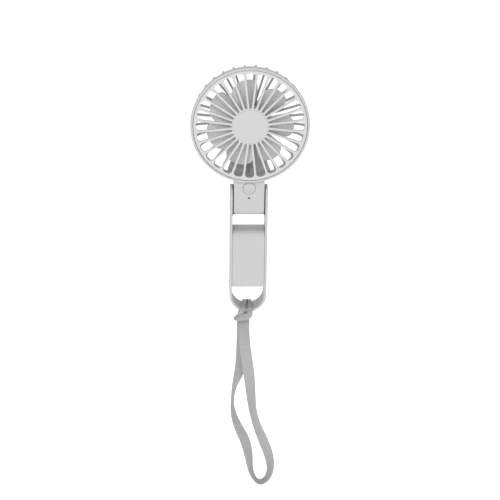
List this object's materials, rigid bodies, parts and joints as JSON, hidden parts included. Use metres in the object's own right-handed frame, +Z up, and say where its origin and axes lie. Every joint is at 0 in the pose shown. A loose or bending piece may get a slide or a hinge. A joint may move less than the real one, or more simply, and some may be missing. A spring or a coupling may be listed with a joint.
{
  "type": "handheld electric fan",
  "caption": "Handheld electric fan: round caged head on a tilting neck, U-shaped handle band with a battery case and a looped webbing wrist strap.",
  "frame": {"origin": "centre of the battery case's flat back face", "axes": "+Z up the handle towards the head, +Y towards the back, so the fan blows towards -Y, +X to the right seen from the front"},
  "size_m": [0.102, 0.0248, 0.4025],
  "materials": {
    "body_plastic": "fine satin texture",
    "grille_plastic": "satin",
    "cap_plastic": "fine satin texture",
    "button_plastic": "satin",
    "impeller_plastic": "satin",
    "cell_foil": "dull foil",
    "foam": "matt",
    "circuit_board": "solder mask",
    "chip_plastic": "matt",
    "steel": "plated",
    "spring_steel": "oiled",
    "acetal": "smooth",
    "lead_sleeve": "smooth",
    "webbing": "woven polyester",
    "aluminium_cast": "cast",
    "bronze": "sintered",
    "lamination_steel": "stacked laminations",
    "copper_wire": "enamelled",
    "led_resin": "clear resin",
    "lens_plastic": "smoked",
    "plated_steel": "zinc plated",
    "magnet": "sintered"
  },
  "bodies": {
    "handle": {"handle_frame": "body_plastic", "case_front": "body_plastic", "case_rear": "body_plastic", "battery_cell": "cell_foil", "battery_pad": "foam", "charge_board": "circuit_board", "charge_parts": "chip_plastic", "usb_receptacle": "steel", "case_screws": "steel", "frame_screws": "steel", "hinge_axle_right": "steel", "hinge_axle_left": "steel", "hinge_clip_right": "spring_steel", "hinge_clip_left": "spring_steel", "hinge_cap_right": "body_plastic", "hinge_cap_left": "body_plastic", "friction_pad_right": "acetal", "friction_pad_left": "acetal", "power_lead": "lead_sleeve", "lead_cover": "body_plastic", "strap_loop": "webbing", "strap_hitch": "webbing"},
    "head": {"rear_housing": "body_plastic", "neck_cover": "body_plastic", "front_grille": "grille_plastic", "centre_cap": "cap_plastic", "rear_cap": "cap_plastic", "motor_base": "aluminium_cast", "bearing_front": "bronze", "bearing_rear": "bronze", "stator_core": "lamination_steel", "stator_windings": "copper_wire", "motor_board": "circuit_board", "motor_screws": "steel", "motor_lead": "lead_sleeve", "neck_lead": "lead_sleeve", "control_board": "circuit_board", "control_parts": "chip_plastic", "tact_switch": "chip_plastic", "led_chip": "led_resin", "led_lens": "lens_plastic", "board_screws": "steel", "neck_screws": "steel"},
    "fan": {"impeller": "impeller_plastic", "rotor_cup": "plated_steel", "rotor_magnet": "magnet", "motor_shaft": "steel", "shaft_clip": "spring_steel"},
    "button": {"power_button": "button_plastic", "switch_plunger": "chip_plastic"}
  },
  "joints": [
    {"name": "head_tilt", "type": "hinge", "parent": "handle", "child": "head", "pos_m": [0, -0.0095, 0.048], "axis": [1, 0, 0], "range_deg": [-90, 90]},
    {"name": "fan_spin", "type": "hinge", "parent": "head", "child": "fan", "pos_m": [0, -0.0122, 0.123], "axis": [0, 1, 0], "continuous": true},
    {"name": "button_press", "type": "slide", "parent": "head", "child": "button", "axis": [0, 1, 0], "range_m": [0, 0.00035], "stiffness_N_per_m": 2000}
  ]
}
